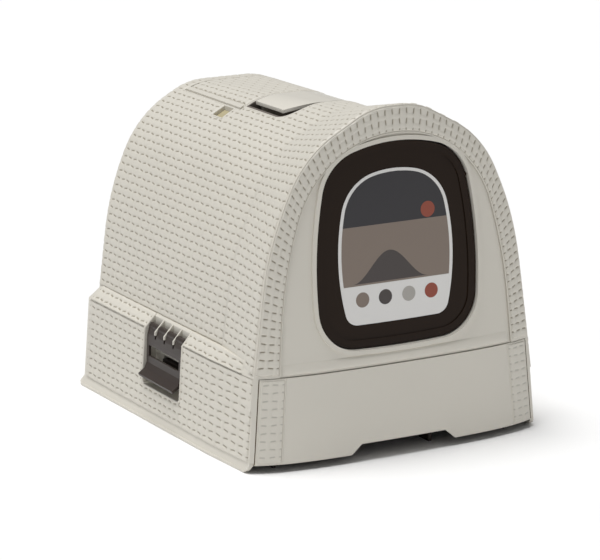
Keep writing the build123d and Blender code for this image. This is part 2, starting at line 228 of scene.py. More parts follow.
# Finishes: noise scales per metre, shares of a colour, and a bump depth in metres.
CLOUD = {"Scale": 9.0, "Detail": 4.0}
FINE = {"Scale": 900.0, "Detail": 3.0}
CLOUD_DARK = 0.965
CLOUD_LIGHT = 1.025
# Weave heights over which the cream turns to the painted shade of the hollows
HOLLOW_SHADE_RANGE = {"From Min": 0.06, "From Max": 0.52}
SMOOTHER = 0.05
ROUGHER = 0.06
GRAIN_DEPTH = 0.0004
# Painted sheen: the cream of the grip is lightened by a gain, up to a limit
SHEEN_PAINT_GAIN = 1.12
SHEEN_PAINT_LIMIT = 0.82
# Share of the cream painted as shade into the hollows of the drawer strips
STRIP_SHADE = 0.72
INK_GRAIN = 0.02

# Stage, in metres; the focal length is in widths of the picture.
WHITE = (1.0, 1.0, 1.0, 1)
FLOOR_SIZE = 14
FLOOR_DROP = 0.0005
FLOOR_ROUGHNESS = 0.9
SKY_STRENGTH = 0.26
KEY_ENERGY = 2.5
KEY_ANGLE = 32
KEY_WAY = (0.22, -0.05, -1.0)
SENSOR_WIDTH = 36.0
FOCAL_WIDTHS = 2998.6 / 600
CLIP_END = 50
CAMERA_AZIMUTH = -28.451
CAMERA_ELEVATION = 14.402
CAMERA_ROLL = -0.318
CAMERA_PLACE = (-1.62584, -2.98186, 1.02318)


class WeaveSettings(bpy.types.PropertyGroup):
    """Sizes of the moulded basket weave."""
    row: bpy.props.FloatProperty(
        name="Row pitch", description="Height of one row of strands", default=0.0090,
        unit="LENGTH", precision=4)
    column: bpy.props.FloatProperty(
        name="Column pitch", description="Distance between upright strands on the vault",
        default=0.0122, unit="LENGTH", precision=4)
    relief: bpy.props.FloatProperty(
        name="Relief", description="Height of the strands over the wall", default=0.0013,
        unit="LENGTH", precision=5)


class FinishSettings(bpy.types.PropertyGroup):
    """Colours of the mouldings, of the painted shade in the weave hollows, and of the label."""
    cream: bpy.props.FloatVectorProperty(
        name="Cream", description="Colour of the cream mouldings", subtype="COLOR", size=3,
        default=(0.712, 0.680, 0.605), min=0, max=1)
    # Painted shade: the colour painted into the low hollows of the weave
    painted_hollow_shade: bpy.props.FloatVectorProperty(
        name="Hollow", description="Colour in the hollows of the weave", subtype="COLOR", size=3,
        default=(0.27, 0.232, 0.165), min=0, max=1)
    brown: bpy.props.FloatVectorProperty(
        name="Brown", description="Colour of the brown mouldings", subtype="COLOR", size=3,
        default=(0.045, 0.034, 0.029), min=0, max=1)
    smoke: bpy.props.FloatVectorProperty(
        name="Smoke", description="Colour of the smoked door", subtype="COLOR", size=3,
        default=(0.0195, 0.0108, 0.0060), min=0, max=1)
    paper: bpy.props.FloatVectorProperty(
        name="Paper", description="Colour of the bare paper of the label", subtype="COLOR", size=3,
        default=(0.80, 0.79, 0.77), min=0, max=1)


def settings():
    """Settings of the weave and of the finishes."""
    scene = bpy.context.scene
    return scene.litter_weave, scene.litter_finish


def pitches():
    """Row and column pitch of the walls in millimetres."""
    sizes = settings()[0]
    return sizes.row / MM, sizes.column / MM


def lerp(a, b, t):
    """Value between two others."""
    return a + (b - a) * t


def lengths(line):
    """Length along a line of points up to each of them."""
    return np.concatenate([[0], np.cumsum(np.linalg.norm(np.diff(line, axis=0), axis=1))])


def path_points(crown, bends, foot=None, grow=0.0):
    """Dense points of bends and straight runs from a level crown down the right side.

    A bend without a turn is a straight run, and a last straight run goes on down to the foot.
    """
    x, z, heading, pieces = 0.0, crown + grow, 0.0, [np.array([(0.0, crown + grow)])]
    share = np.linspace(0, 1, ARC_POINTS)[1:]
    for size, turn in bends:
        if turn:
            radius, angle = size + grow, heading + radians(turn) * share
            piece = np.stack([x + radius * (np.sin(angle) - sin(heading)),
                              z + radius * (np.cos(angle) - cos(heading))], 1)
            heading += radians(turn)
        else:
            piece = np.stack([x + size * share * cos(heading), z - size * share * sin(heading)], 1)
        pieces.append(piece)
        x, z = piece[-1]
    if foot is not None:
        fall = np.linspace(0, z - foot, 4 * ARC_POINTS)[1:]
        pieces.append(np.stack([x + fall * cos(heading) / sin(heading), z - fall], 1))
    return np.concatenate(pieces)


def whole(half):
    """Whole arch, right foot to left foot, from a half one that starts at the crown."""
    return np.concatenate([half[::-1], half[1:] * (-1, 1)])


def vault_arch(arch):
    """Whole arch of the vault from its crown height and straight runs."""
    bends = [step for run, bend in zip(arch[1:], BENDS) for step in ((run, 0), bend)]
    return whole(path_points(arch[0], bends, ARCH_FOOT))


COLLAR = vault_arch(COLLAR_ARCH)
BACK = vault_arch(BACK_ARCH)
MOUTH = COLLAR + (vault_arch(FRONT_ARCH) - COLLAR) * FLARE
PANEL = whole(path_points(*PANEL_ARCH, PANEL_FOOT))
DENSE = len(COLLAR)
BOW_LINE = path_points(0, BOW)
LABEL_LINE = path_points(*LABEL_OUTLINE, grow=-LABEL_BORDER)


def front_y(x, z, sink=0.0):
    """Depth of the leaning, bowed front at a point, or of a place sunk behind it."""
    return FRONT_Y - np.interp(np.abs(x), *BOW_LINE.T) + LEAN * z + sink


def front_edge():
    """Line in which the flared collar meets the front face, found by halving."""
    low, high = np.zeros(DENSE), np.ones(DENSE)
    for _ in range(HALVINGS):
        t = (low + high) / 2
        x, z = (COLLAR + (MOUTH - COLLAR) * t[:, None]).T
        behind = COLLAR_Y + (MOUTH_Y - COLLAR_Y) * t > front_y(x, z)
        low, high = np.where(behind, t, low), np.where(behind, high, t)
    x, z = (COLLAR + (MOUTH - COLLAR) * low[:, None]).T
    return np.stack([x, front_y(x, z), z], -1)


FRONT_EDGE = front_edge()


def section(y):
    """Section of the roof at a depth, as many points as the dense arches."""
    if y < COLLAR_Y:
        return COLLAR + (MOUTH - COLLAR) * ((COLLAR_Y - y) / (COLLAR_Y - MOUTH_Y))
    return COLLAR + (BACK - COLLAR) * ((y - COLLAR_Y) / (BACK_Y - BACK_EASE - COLLAR_Y))


def on_roof(plan, lift=RIM_LIFT):
    """Points of the roof over plan points, lifted off it."""
    points = []
    for x, y in plan:
        cut = section(y)[::-1]
        points.append((x, y, float(np.interp(x, cut[:, 0], cut[:, 1])) + lift))
    return points


def roof_points(run, rise):
    """Points of the roof by the depth and by the length round the arch, left of the crown first."""
    spots = []
    for y, reach in zip(run[:, 0], rise):
        cut = section(y)[::-1]
        length = lengths(cut)
        x, z = [np.interp(reach, length - length[DENSE // 2], cut[:, k]) for k in (0, 1)]
        spots.append(np.stack([x, np.full_like(x, y), z], -1))
    return np.array(spots)


def collar_points(shares, rise):
    """Points of the flared collar by the share of the way to the front and the place on the arch.

    Rows keep their height over the foot, and above a level they widen with the flare.
    """
    back = np.stack([COLLAR[:, 0], np.full(DENSE, COLLAR_Y), COLLAR[:, 1]], -1)[::-1]
    way = FRONT_EDGE[::-1] - back
    crown = lengths(back)[DENSE // 2]
    spots = []
    for share, reach in zip(shares[:, 0], rise):
        line = back + way * share
        length = lengths(line)
        foot = crown - np.abs(reach)
        wider = (length[DENSE // 2] - COLLAR_LEVEL) / (crown - COLLAR_LEVEL)
        foot = np.where(foot > COLLAR_LEVEL, COLLAR_LEVEL + (foot - COLLAR_LEVEL) * wider, foot)
        at = np.where(reach < 0, foot, length[-1] - foot)
        spots.append(np.stack([np.interp(at, length, line[:, k]) for k in range(3)], -1))
    return np.array(spots)


def half_at(y, halves):
    """Half width of the lower box at a depth, from those at the front, the collar and the back."""
    return np.interp(y, (FRONT_END_Y, COLLAR_Y, BACK_Y), halves)


def lower_half(y, z):
    """Half width of the drafted lower walls."""
    share = (z - WALL_FOOT_Z) / (SEAM_Z - WALL_FOOT_Z)
    return lerp(half_at(y, FOOT_HALF), half_at(y, SEAM_HALF), share)


def drawer_half(z):
    """Half width of the drawer's front."""
    return lerp(DRAWER_FOOT_HALF, DRAWER_TOP_HALF, (z - DRAWER_FOOT_Z) / (SEAM_Z - DRAWER_FOOT_Z))


def eased(y):
    """Depth that the columns are counted by: they widen in front of the collar."""
    return np.where(y < COLLAR_Y, COLLAR_Y + (y - COLLAR_Y) / COLLAR_WIDER, y)


def uneased(run):
    """Depth of a column count."""
    return np.where(run < COLLAR_Y, COLLAR_Y + (run - COLLAR_Y) * COLLAR_WIDER, run)


def lower_points(side):
    """Points of a drafted lower wall by the column count and the height."""
    def place(run, rise):
        y = uneased(run)
        return np.stack([side * lower_half(y, rise), y, rise], -1)
    return place


def slope_points(side):
    """Points of the slope above a lower wall by the column count and the way up."""
    def place(run, rise):
        y, share = uneased(run), (rise - SEAM_Z) / SLOPE_LENGTH + SLOPE_START
        x = lerp(half_at(y, SEAM_HALF), half_at(y, SHOULDER_HALF), share)
        return np.stack([side * x, y, lerp(*SLOPE_Z, share)], -1)
    return place


def cup_front(x):
    """Front edge of the cup over its width."""
    past = np.clip(np.abs(x) - (CUP_HALF - CUP_CORNER), 0, CUP_CORNER)
    return CUP_FRONT_Y + CUP_CORNER - np.sqrt(CUP_CORNER**2 - past**2)


def in_pocket(x, y, z):
    """Cells over the clip pocket."""
    return (y > POCKET[0]) & (y < POCKET[1]) & (z > POCKET_FOOT - POCKET_MARGIN)


def in_hatch(x, y, z):
    """Cells over the cup, the filter lid and the finger notch."""
    off, edge = np.abs(x), HATCH_MARGIN
    cup = (off < CUP_HALF + edge) & (y > cup_front(x) - edge) & (y < LID_FRONT_Y)
    lid = (off < LID_HALF + edge) & (y > LID_FRONT_Y - LID_FRONT_MARGIN) & (y < LID_BACK_Y + edge)
    x_low, x_high, y_low, y_high = NOTCH
    notch = (x > x_low - edge) & (x < x_high + edge) & (y > y_low - edge) & (y < y_high + edge)
    return cup | lid | notch


def add_nodes(tree, kinds):
    """New nodes by short name."""
    return {name: tree.nodes.new(kind) for name, kind in kinds.items()}


def fill(node, values):
    """Set the sockets of a node by name."""
    for label, value in values.items():
        node.inputs[label].default_value = value


def hollows(tree, base, painted_hollow_shade):
    """Colour output that turns to painted shade where the weave is low: shade painted into the hollows of
    the weave.
    """
    n = add_nodes(tree, {"weave": "ShaderNodeAttribute", "ramp": "ShaderNodeMapRange",
                         "painted_shade": "ShaderNodeMix"})
    n["weave"].attribute_name = "weave"
    fill(n["ramp"], HOLLOW_SHADE_RANGE)
    n["painted_shade"].data_type = "RGBA"
    fill(n["painted_shade"], {"A": (*painted_hollow_shade, 1)})
    tree.links.new(n["weave"].outputs["Fac"], n["ramp"].inputs["Value"])
    tree.links.new(n["ramp"].outputs["Result"], n["painted_shade"].inputs["Factor"])
    tree.links.new(base, n["painted_shade"].inputs["B"])
    return n["painted_shade"].outputs["Result"]


def plastic(name, colour, roughness, grain=0.06, shine=0.5, painted_hollow_shade=None):
    """Moulded plastic: soft cloudy tone, fine grain, and painted shade in the hollows where a weave has
    them.
    """
    mat = bpy.data.materials.new(name)
    mat.use_nodes = True
    tree = mat.node_tree
    link, shader = tree.links.new, tree.nodes["Principled BSDF"]
    n = add_nodes(tree, {"place": "ShaderNodeTexCoord", "cloud": "ShaderNodeTexNoise",
                         "fine": "ShaderNodeTexNoise", "tone": "ShaderNodeMix",
                         "rough": "ShaderNodeMapRange", "bump": "ShaderNodeBump"})
    for texture, values in (("cloud", CLOUD), ("fine", FINE)):
        fill(n[texture], values)
        link(n["place"].outputs["Object"], n[texture].inputs["Vector"])
    n["tone"].data_type = "RGBA"
    fill(n["tone"], {"A": (*[c * CLOUD_DARK for c in colour], 1),
                     "B": (*[min(c * CLOUD_LIGHT, 1) for c in colour], 1)})
    link(n["cloud"].outputs["Fac"], n["tone"].inputs["Factor"])
    base = n["tone"].outputs["Result"]
    if painted_hollow_shade is not None:
        base = hollows(tree, base, painted_hollow_shade)
    link(base, shader.inputs["Base Color"])
    fill(n["rough"], {"To Min": roughness - SMOOTHER, "To Max": roughness + ROUGHER})
    link(n["cloud"].outputs["Fac"], n["rough"].inputs["Value"])
    link(n["rough"].outputs["Result"], shader.inputs["Roughness"])
    fill(n["bump"], {"Strength": grain, "Distance": GRAIN_DEPTH})
    link(n["fine"].outputs["Fac"], n["bump"].inputs["Height"])
    link(n["bump"].outputs["Normal"], shader.inputs["Normal"])
    fill(shader, {"Specular IOR Level": shine})
    return mat


def finish_values():
    """Values of each finish by its name."""
    tones = settings()[1]
    # Cream lightened as painted sheen for the glossy grip
    painted_sheen = [min(c * SHEEN_PAINT_GAIN, SHEEN_PAINT_LIMIT) for c in tones.cream]
    # Darker cream painted as shade into the hollows of the drawer strips
    strip = [c * STRIP_SHADE for c in tones.cream]
    inks = {"print_sand": (0.235, 0.185, 0.150), "print_clay": (0.30, 0.060, 0.030),
            "print_stone": (0.42, 0.40, 0.37), "print_dusk": (0.060, 0.048, 0.045)}
    values = {
        "cream_smooth": dict(colour=tones.cream, roughness=0.42),
        # cream_weave and cream_strip paint shade into the low hollows of the weave
        "cream_weave": dict(colour=tones.cream, roughness=0.46, painted_hollow_shade=tones.painted_hollow_shade),
        "cream_strip": dict(colour=tones.cream, roughness=0.46, painted_hollow_shade=strip),
        # The grip: real gloss from the roughness, and a lighter cream as painted sheen
        "cream_gloss_painted_sheen": dict(colour=painted_sheen, roughness=0.24),
        # Notch floor: cream darkened and yellowed as painted shade with a warm painted bounce light
        "cream_notch_painted_shade": dict(colour=(0.50, 0.44, 0.27), roughness=0.45),
        "brown_moulding": dict(colour=tones.brown, roughness=0.40, grain=0.08, shine=0.30),
        # The cup: the brown moulding lightened as painted light in the recess
        "brown_cup_painted_light": dict(colour=(0.17, 0.145, 0.125), roughness=0.42),
        "brown_shade": dict(colour=(0.10, 0.072, 0.040), roughness=0.7, shine=0.1),
        "smoked_door": dict(colour=tones.smoke, roughness=0.20, grain=INK_GRAIN, shine=0.12),
        "carbon_felt": dict(colour=(0.012, 0.012, 0.012), roughness=0.9, grain=0.7),
        "paper_white": dict(colour=tones.paper, roughness=0.34, grain=INK_GRAIN),
        "print_night": dict(colour=(0.022, 0.020, 0.024), roughness=0.30, grain=INK_GRAIN),
    }
    for name, colour in inks.items():
        values[name] = dict(colour=colour, roughness=0.32, grain=INK_GRAIN)
    return values


def finish(name):
    """Finish by name, made once."""
    if name in bpy.data.materials:
        return bpy.data.materials[name]
    return plastic(name, **finish_values()[name])


def piece_from(name, verts, faces, material, body, slot, smooth=True):
    """New piece from points in millimetres, riding on a body."""
    mesh = bpy.data.meshes.new(name)
    mesh.from_pydata([tuple(v * MM for v in p) for p in verts], [], faces)
    mesh.validate()
    mesh.update()
    if smooth:
        mesh.shade_smooth()
    obj = bpy.data.objects.new(name, mesh)
    bpy.context.collection.objects.link(obj)
    obj.data.materials.append(finish(material))
    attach(obj, body)
    return obj


def calc(tree, kind, *values):
    """One sum of a node tree."""
    node = tree.nodes.new("ShaderNodeMath")
    node.operation = kind
    for socket, value in zip(node.inputs, values):
        if isinstance(value, (int, float)):
            socket.default_value = value
        else:
            tree.links.new(value, socket)
    return node.outputs[0]


def power(tree, value, order, share):
    """Share of an even power of a value."""
    square = calc(tree, "MULTIPLY", value, value)
    return calc(tree, "MULTIPLY", calc(tree, "POWER", square, order / 2), share)


def less(tree, top, value, order, share):
    """What a share of an even power of a value leaves of a top height."""
    return calc(tree, "SUBTRACT", top, power(tree, value, order, share))


def strand_height(tree, along, up):
    """Height of the strands: narrow warps at whole numbers along, a weft in every row up."""
    row = calc(tree, "FLOOR", up)
    t = calc(tree, "MULTIPLY_ADD", calc(tree, "SUBTRACT", up, row), 2.0, -1.0)
    aside = calc(tree, "SUBTRACT", calc(tree, "FRACT", calc(tree, "ADD", along, 0.5)), 0.5)
    wave = calc(tree, "COSINE", calc(tree, "MULTIPLY", calc(tree, "ADD", along, row), pi))
    over = calc(tree, "MULTIPLY_ADD", wave, 0.5, 0.5)
    weft = calc(tree, "MULTIPLY_ADD", calc(tree, "POWER", over, WEFT_FULLNESS), 1 - WEFT_LOW, WEFT_LOW)
    weft = calc(tree, "MULTIPLY", weft, less(tree, 1.0, t, 4, WEFT_ROUND))
    warp = calc(tree, "POWER", calc(tree, "SUBTRACT", 1.0, over), WARP_FULLNESS)
    across = calc(tree, "DIVIDE", aside, WARP_HALF)
    warp = calc(tree, "MULTIPLY", warp, less(tree, WARP_TOP, across, 4, WARP_SIDE_ROUND))
    warp = calc(tree, "MULTIPLY", warp, less(tree, 1.0, t, 4, WARP_END_ROUND))
    return calc(tree, "MAXIMUM", weft, warp)


def weave_height(tree, along, up, lean):
    """Height of a plain weave, 0 to 1.

    A hole is left midway between two warps wherever two wefts meet. The holes slant by turns.
    """
    meeting = calc(tree, "ROUND", up)
    gap = calc(tree, "SUBTRACT", calc(tree, "FRACT", along), 0.5)
    pair = calc(tree, "MULTIPLY", calc(tree, "ADD", calc(tree, "FLOOR", along), meeting), 0.5)
    turn = calc(tree, "MULTIPLY_ADD", calc(tree, "FRACT", pair), -4.0, 1.0)
    line = calc(tree, "MULTIPLY", calc(tree, "MULTIPLY", turn, lean), gap)
    away = calc(tree, "SUBTRACT", calc(tree, "SUBTRACT", up, meeting), line)
    far = calc(tree, "ADD", power(tree, calc(tree, "DIVIDE", gap, HOLE_HALF_LENGTH), 6, 1.0),
               power(tree, calc(tree, "DIVIDE", away, HOLE_HALF_HEIGHT), 2, 1.0))
    hole = calc(tree, "EXPONENT", calc(tree, "MULTIPLY", far, -1.0))
    left = calc(tree, "MULTIPLY_ADD", hole, -HOLE_DEPTH, 1.0)
    return calc(tree, "MULTIPLY", strand_height(tree, along, up), left)


def weave_tree():
    """Node tree that raises a basket weave on a wall patch."""
    if "basket_weave" in bpy.data.node_groups:
        return bpy.data.node_groups["basket_weave"]
    tree = bpy.data.node_groups.new("basket_weave", "GeometryNodeTree")
    face = tree.interface
    face.new_socket(name="Wall", in_out="INPUT", socket_type="NodeSocketGeometry")
    for label in ("Row pitch", "Column pitch", "Relief", "Lift", "Slant"):
        face.new_socket(name=label, in_out="INPUT", socket_type="NodeSocketFloat")
    face.new_socket(name="Finish", in_out="INPUT", socket_type="NodeSocketMaterial")
    face.new_socket(name="Wall", in_out="OUTPUT", socket_type="NodeSocketGeometry")
    n = add_nodes(tree, {"in": "NodeGroupInput", "out": "NodeGroupOutput",
                         "run": "GeometryNodeInputNamedAttribute",
                         "rise": "GeometryNodeInputNamedAttribute",
                         "edge": "GeometryNodeInputNamedAttribute",
                         "facing": "GeometryNodeInputNormal", "push": "ShaderNodeVectorMath",
                         "move": "GeometryNodeSetPosition",
                         "store": "GeometryNodeStoreNamedAttribute",
                         "real": "GeometryNodeRealizeInstances",
                         "coat": "GeometryNodeSetMaterial"})
    value = {}
    for label in ("run", "rise", "edge"):
        n[label].data_type = "FLOAT"
        fill(n[label], {"Name": label})
        value[label] = n[label].outputs["Attribute"]
    link, given = tree.links.new, n["in"].outputs
    height = weave_height(tree, calc(tree, "DIVIDE", value["run"], given["Column pitch"]),
                          calc(tree, "DIVIDE", value["rise"], given["Row pitch"]), given["Slant"])
    raised = calc(tree, "MULTIPLY_ADD", height, given["Relief"], given["Lift"])
    sunk = calc(tree, "MULTIPLY", calc(tree, "SUBTRACT", value["edge"], 1.0), BORDER_SINK * MM)
    raised = calc(tree, "ADD", calc(tree, "MULTIPLY", raised, value["edge"]), sunk)
    n["push"].operation = "SCALE"
    link(n["facing"].outputs["Normal"], n["push"].inputs[0])
    link(raised, n["push"].inputs["Scale"])
    link(given["Wall"], n["move"].inputs["Geometry"])
    link(n["push"].outputs[0], n["move"].inputs["Offset"])
    # The weave height is stored so that the finish can paint shade into the hollows
    n["store"].data_type = "FLOAT"
    n["store"].domain = "POINT"
    fill(n["store"], {"Name": "weave"})
    link(n["move"].outputs["Geometry"], n["store"].inputs["Geometry"])
    link(height, n["store"].inputs["Value"])
    link(n["store"].outputs["Geometry"], n["real"].inputs["Geometry"])
    link(n["real"].outputs["Geometry"], n["coat"].inputs["Geometry"])
    link(given["Finish"], n["coat"].inputs["Material"])
    link(n["coat"].outputs["Geometry"], n["out"].inputs["Wall"])
    return tree


def ticks(low, high, pitch, parts=WALL_PARTS):
    """Stations from low to high on even parts of a pitch, in millimetres, with both ends."""
    step = pitch / parts
    inner = np.arange(np.ceil(low / step), np.floor(high / step) + 1) * step
    inner = inner[(inner > low + LEAST_CELL * step) & (inner < high - LEAST_CELL * step)]
    return np.concatenate([[low], inner, [high]])


class Wall:
    """Patches of wall that become one woven piece."""

    def __init__(self):
        self.points, self.faces, self.marks = [], [], []

    def patch(self, runs, rises, place, outward, raised_ends="", skip=None):
        """Add a grid of stations along and up a wall.

        place gives the points, and outward points off the wall. A border is let into the wall,
        apart from the first or last line of a raised end, and the cells that skip names are left out.
        """
        run, rise = np.meshgrid(runs, rises, indexing="ij")
        spots = place(run, rise)
        middle = (spots[1:, 1:] + spots[:-1, 1:] + spots[1:, :-1] + spots[:-1, :-1]) / 4
        keep = ~skip(*np.moveaxis(middle, -1, 0)) if skip else np.ones(middle.shape[:2], bool)
        field = np.pad(keep, 1)
        for name, edge, inside in (("near", 0, 1), ("far", -1, -2)):
            if name in raised_ends:
                field[edge] = field[inside]
        for name, edge, inside in (("low", 0, 1), ("high", -1, -2)):
            if name in raised_ends:
                field[:, edge] = field[:, inside]
        raised = field[1:, 1:] & field[:-1, 1:] & field[1:, :-1] & field[:-1, :-1]
        number = np.arange(run.size).reshape(run.shape) + sum(len(p) for p in self.points)
        quads = np.stack([number[:-1, :-1], number[:-1, 1:], number[1:, 1:], number[1:, :-1]], -1)
        i, j = run.shape[0] // 2, run.shape[1] // 2
        facing = np.cross(spots[i, j + 1] - spots[i, j], spots[i + 1, j] - spots[i, j])
        quads = quads[keep]
        self.faces.append(quads[:, ::-1] if np.dot(facing, outward) < 0 else quads)
        self.points.append(spots.reshape(-1, 3))
        self.marks.append(np.stack([run, rise, raised], -1).reshape(-1, 3))

    def mesh(self, name):
        """Plain mesh of the patches, with its place on the wall as attributes."""
        mesh = bpy.data.meshes.new(name)
        used, faces = np.unique(np.concatenate(self.faces), return_inverse=True)
        points = np.concatenate(self.points)[used] * MM
        run, rise, edge = np.concatenate(self.marks)[used].T
        mesh.from_pydata(points.tolist(), [], faces.reshape(-1, 4).tolist())
        for label, data in (("run", run * MM), ("rise", rise * MM), ("edge", edge)):
            mesh.attributes.new(label, "FLOAT", "POINT").data.foreach_set("value", data)
        mesh.update()
        return mesh

    def weave(self, name, body, column, relief=1.0, slant=WALL_SLANT, coat="cream_weave"):
        """Raise the weave on the patches and make the plain mesh piece."""
        sizes = settings()[0]
        wall = bpy.data.objects.new(name + "_wall", self.mesh(name + "_wall"))
        bpy.context.collection.objects.link(wall)
        weave = wall.modifiers.new("weave", "NODES")
        weave.node_group = weave_tree()
        given = {"Row pitch": sizes.row, "Column pitch": column * MM, "Relief": sizes.relief * relief,
                 "Lift": WEAVE_LIFT * MM, "Slant": slant, "Finish": finish(coat)}
        for item in weave.node_group.interface.items_tree:
            if item.in_out == "INPUT" and item.name in given:
                weave[item.identifier] = given[item.name]
        depsgraph = bpy.context.evaluated_depsgraph_get()
        woven = bpy.data.meshes.new_from_object(wall.evaluated_get(depsgraph))
        bpy.data.objects.remove(wall)
        woven.name = name
        woven.shade_smooth()
        obj = bpy.data.objects.new(name, woven)
        bpy.context.collection.objects.link(obj)
        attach(obj, body)


class LITTER_OT_weave_sides(bpy.types.Operator):
    """Weave the sides of the roof, the shoulders and the lower walls."""
    bl_idname = "litter.weave_sides"
    bl_label = "Weave Sides"

    def execute(self, context):
        row, column = pitches()
        slope = (SEAM_Z - SLOPE_START * SLOPE_LENGTH, SEAM_Z + (1 - SLOPE_START) * SLOPE_LENGTH)
        for side, name in SIDES:
            wall = Wall()
            reach = sorted((side * TOP_REACH, side * FOOT_REACH))
            wall.patch(ticks(*ROOF_WEAVE_Y, column), ticks(*reach, row), roof_points, (side, 0, 0.3),
                       "near low" if side > 0 else "near high", in_hatch)
            wall.weave(f"weave_roof_{name}", "hood", column)
            wall = Wall()
            wall.patch(ticks(*eased(np.array(LOWER_WEAVE_Y)), column), ticks(*LOWER_WEAVE_Z, row),
                       lower_points(side), (side, 0, 0), "high", in_pocket)
            wall.patch(ticks(*eased(np.array(SLOPE_WEAVE_Y)), column), ticks(*slope, row),
                       slope_points(side), (side, 0, 0.6), skip=in_pocket)
            wall.weave(f"weave_lower_{name}", "hood", column)
        return {"FINISHED"}


class LITTER_OT_weave_top(bpy.types.Operator):
    """Weave the top of the roof around the grip and the filter lid, and the lid itself."""
    bl_idname = "litter.weave_top"
    bl_label = "Weave Top"

    def execute(self, context):
        row, column = pitches()
        wall = Wall()
        wall.patch(ticks(*ROOF_WEAVE_Y, column), ticks(-TOP_REACH, TOP_REACH, row),
                   roof_points, (0, 0, 1), "near low high", in_hatch)
        wall.weave("weave_roof_top", "hood", column)
        wall = Wall()
        wall.patch(ticks(*LID_WEAVE_Y, column), ticks(-LID_WEAVE_REACH, LID_WEAVE_REACH, row),
                   roof_points, (0, 0, 1))
        wall.weave("weave_filter_lid", "lid", column)
        return {"FINISHED"}


class LITTER_OT_weave_back(bpy.types.Operator):
    """Weave the back wall."""
    bl_idname = "litter.weave_back"
    bl_label = "Weave Back"

    def execute(self, context):
        row, column = pitches()
        half_x, half_z = BACK[:DENSE // 2 + 1].T

        def lower(run, rise):
            return np.stack([run, np.full_like(run, BACK_Y), rise], -1)

        def upper(run, rise):
            reach = np.interp(rise, half_z, half_x) - BACK_MARGIN
            return lower(np.clip(run, -reach, reach), rise)

        def outside(x, y, z):
            return np.abs(x) > np.interp(z, half_z, half_x) - BACK_MARGIN - BACK_CUT
        wall = Wall()
        wall.patch(ticks(-BACK_UPPER_HALF, BACK_UPPER_HALF, column), ticks(*BACK_UPPER_Z, row),
                   upper, (0, 1, 0), skip=outside)
        wall.patch(ticks(-BACK_LOWER_HALF, BACK_LOWER_HALF, column), ticks(*BACK_LOWER_Z, row),
                   lower, (0, 1, 0))
        wall.weave("weave_back", "hood", column)
        return {"FINISHED"}


def band_points(pitch):
    """Points of the band between the panel and the front edge, by the column and the way round."""
    inner = PANEL[PANEL[:, 1] > BAND_FOOT]
    outer = FRONT_EDGE[FRONT_EDGE[:, 2] > BAND_FOOT][:, [0, 2]]

    def follow(line, share):
        along = lengths(line)
        return [np.interp(share * along[-1], along, line[:, k]) for k in (0, 1)]

    def place(run, rise):
        share = rise / BAND_LENGTH
        across = lerp(*BAND_SHARES, (run / pitch - 0.5) / FRONT_COLUMNS)
        x, z = [lerp(a, b, across) for a, b in zip(follow(inner, share), follow(outer, share))]
        return np.stack([x, front_y(x, z), z], -1)
    return place


def strip_points(side, pitch):
    """Points of the strip at an end of the drawer, by the column and the height."""
    def place(run, rise):
        x = side * (drawer_half(rise) - STRIP_INSET + run - pitch / 2)
        return np.stack([x, front_y(x, rise), rise], -1)
    return place


class LITTER_OT_weave_collar(bpy.types.Operator):
    """Weave the flared collar, the band on the front and the strips on the drawer."""
    bl_idname = "litter.weave_collar"
    bl_label = "Weave Collar"

    def execute(self, context):
        row, column = pitches()
        depth = (COLLAR_Y - FRONT_Y) / COLLAR_WIDER

        def collar(run, rise):
            return collar_points((COLLAR_Y - run) / depth, rise)

        def columns(pitch):
            return ticks(pitch / 2, pitch * (FRONT_COLUMNS + 0.5), pitch, FRONT_PARTS)
        wall = Wall()
        reach = lengths(COLLAR)[-1] / 2 - COLLAR_FOOT
        wall.patch(ticks(COLLAR_Y - COLLAR_SHARE * depth, COLLAR_Y - COLLAR_LINE, column),
                   ticks(-reach, reach, row), collar, (0, 0, 1), "far")
        wall.weave("weave_collar", "hood", column, COLLAR_RELIEF)
        wall = Wall()
        pitch = BAND_WIDTH / FRONT_COLUMNS
        wall.patch(columns(pitch), ticks(0, BAND_LENGTH, row), band_points(pitch), (0, -1, 0))
        wall.weave("weave_band", "hood", pitch, BAND_RELIEF, 0.0)
        wall = Wall()
        pitch = STRIP_WIDTH / FRONT_COLUMNS
        for side, _ in SIDES:
            wall.patch(columns(pitch), ticks(*STRIP_Z, row), strip_points(side, pitch), (0, -1, 0))
        # The drawer strips get cream_strip, with painted shade in their hollows
        wall.weave("weave_drawer", "drawer", pitch, STRIP_RELIEF, 0.0, "cream_strip")
        return {"FINISHED"}


def tube(points, radius, up):
    """Points and faces of a round bead along a line of points, closed at both ends."""
    verts, faces = [], []
    pts = [Vector(p) for p in points]
    for i, p in enumerate(pts):
        way = (pts[min(i + 1, len(pts) - 1)] - pts[max(i - 1, 0)]).normalized()
        first = way.cross(Vector(up)).normalized()
        second = way.cross(first)
        for k in range(BEAD_SIDES):
            turn = 2 * pi * k / BEAD_SIDES
            verts.append(tuple(p + (first * cos(turn) + second * sin(turn)) * radius))
    for i in range(len(pts) - 1):
        for k in range(BEAD_SIDES):
            a, b = i * BEAD_SIDES + k, i * BEAD_SIDES + (k + 1) % BEAD_SIDES
            faces.append((a, b, b + BEAD_SIDES, a + BEAD_SIDES))
    faces.append(tuple(reversed(range(BEAD_SIDES))))
    faces.append(tuple(range(len(verts) - BEAD_SIDES, len(verts))))
    return verts, faces


def bead(name, points, radius, body, up=BEAD_UP, material="cream_smooth", slot="cream"):
    """Round bead along a line of points, with its faces turned outwards."""
    obj = piece_from(name, *tube(points, radius, up), material, body, slot)
    form = bmesh.new()
    form.from_mesh(obj.data)
    bmesh.ops.recalc_face_normals(form, faces=form.faces)
    form.to_mesh(obj.data)
    form.free()


